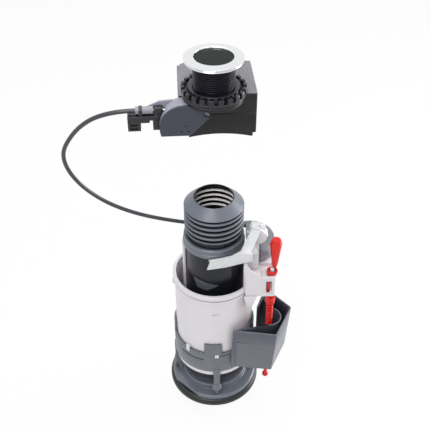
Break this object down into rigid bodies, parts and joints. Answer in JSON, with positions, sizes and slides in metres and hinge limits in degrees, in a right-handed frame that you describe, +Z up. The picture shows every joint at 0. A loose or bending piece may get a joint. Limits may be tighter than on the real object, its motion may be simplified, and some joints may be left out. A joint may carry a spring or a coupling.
{
  "type": "sensor flush valve",
  "caption": "Touch-free cistern flush set: a tall valve with overflow bellows, lift lever and float bucket, joined by a push cable to a lid-mounted sensor unit with motor drive.",
  "frame": {"origin": "on the valve's axis, on the cistern floor under the base washer", "axes": "+Z up along the valve's axis, -Y towards the front, +X to the right where the float bucket hangs"},
  "size_m": [0.2222, 0.1125, 0.4208],
  "materials": {
    "black_rubber": "matt rubber",
    "grey_plastic": "satin",
    "collar_grey": "satin",
    "white_plastic": "smooth",
    "black_gloss": "gloss",
    "bellows_rubber": "soft rubber",
    "red_plastic": "smooth",
    "bucket_grey": "satin",
    "clear_plastic": "clear",
    "smoke_plastic": "translucent",
    "cable_jacket": "smooth",
    "steel": "bright",
    "black_plastic": "fine grain",
    "housing_plastic": "sheen",
    "drive_grey": "satin",
    "drive_light_grey": "satin",
    "chrome": "polished",
    "window_black": "polished",
    "board_green": "lacquered",
    "cell_wrap": "printed film, bare",
    "motor_metal": "plated",
    "diode_tint": "tinted"
  },
  "bodies": {
    "frame": {"base_washer": "black_rubber", "valve_base": "grey_plastic", "bayonet_collar": "collar_grey", "valve_body": "white_plastic", "float_column": "white_plastic", "cable_guide": "smoke_plastic", "cable_ferrule_valve": "black_plastic", "cable_sheath": "cable_jacket", "cable_ferrule_sensor": "drive_light_grey", "cable_arm": "black_plastic", "cable_clip": "black_plastic", "drum_housing": "drive_light_grey", "drum_cover": "drive_grey", "gear_motor": "motor_metal", "housing_cover": "housing_plastic", "housing_base": "housing_plastic", "housing_screws": "steel", "battery_tray": "black_plastic", "battery_1": "cell_wrap", "battery_2": "cell_wrap", "battery_3": "cell_wrap", "battery_4": "cell_wrap", "battery_contacts": "steel", "circuit_board": "board_green", "threaded_barrel": "black_gloss", "bezel_ring": "chrome", "sensor_window": "window_black", "sensor_board": "board_green", "ir_emitter": "diode_tint", "ir_receiver": "diode_tint"},
    "lift_tube": {"overflow_tube": "black_gloss", "main_seal": "black_rubber", "seal_retainer": "white_plastic", "tube_cuff": "grey_plastic", "overflow_bellows": "bellows_rubber"},
    "lever": {"lift_lever": "clear_plastic"},
    "wire_valve": {"push_wire_valve": "steel"},
    "wire_sensor": {"push_wire_sensor": "steel"},
    "drum": {"cable_quadrant": "white_plastic", "drive_shaft": "steel"},
    "rod": {"adjuster_rod": "red_plastic"},
    "bucket": {"float_bucket": "bucket_grey"},
    "nut": {"lock_nut": "black_gloss"}
  },
  "joints": [
    {"name": "tube_lift", "type": "slide", "parent": "frame", "child": "lift_tube", "axis": [0, 0, 1], "range_m": [0, 0.015]},
    {"name": "lever_tilt", "type": "hinge", "parent": "frame", "child": "lever", "pos_m": [0.038, -0.01, 0.2095], "axis": [0, 1, 0], "range_deg": [0, 19.8]},
    {"name": "wire_valve_slide", "type": "slide", "parent": "frame", "child": "wire_valve", "axis": [-1, 0, 0], "range_m": [0, 0.0053]},
    {"name": "wire_sensor_slide", "type": "slide", "parent": "frame", "child": "wire_sensor", "axis": [-0.9976, -0.0698, 0], "range_m": [0, 0.0053]},
    {"name": "quadrant_turn", "type": "hinge", "parent": "frame", "child": "drum", "pos_m": [-0.02203, -0.00756, 0.3475], "axis": [0.0698, -0.9976, 0], "range_deg": [0, 30.4]},
    {"name": "rod_slide", "type": "slide", "parent": "frame", "child": "rod", "axis": [0, 0, 1], "range_m": [0, 0.006]},
    {"name": "bucket_adjust", "type": "slide", "parent": "rod", "child": "bucket", "axis": [0, 0, 1], "range_m": [-0.02, 0.02]},
    {"name": "lock_nut_turn", "type": "hinge", "parent": "frame", "child": "nut", "pos_m": [0, 0, 0.37], "axis": [0, 0, 1], "continuous": true}
  ],
  "couplings": [
    {"joint": "lever_tilt", "follows": "tube_lift", "rad_per_m": 23},
    {"joint": "wire_valve_slide", "follows": "tube_lift", "ratio": 0.353},
    {"joint": "wire_sensor_slide", "follows": "tube_lift", "ratio": 0.353},
    {"joint": "quadrant_turn", "follows": "tube_lift", "rad_per_m": 35.3}
  ]
}
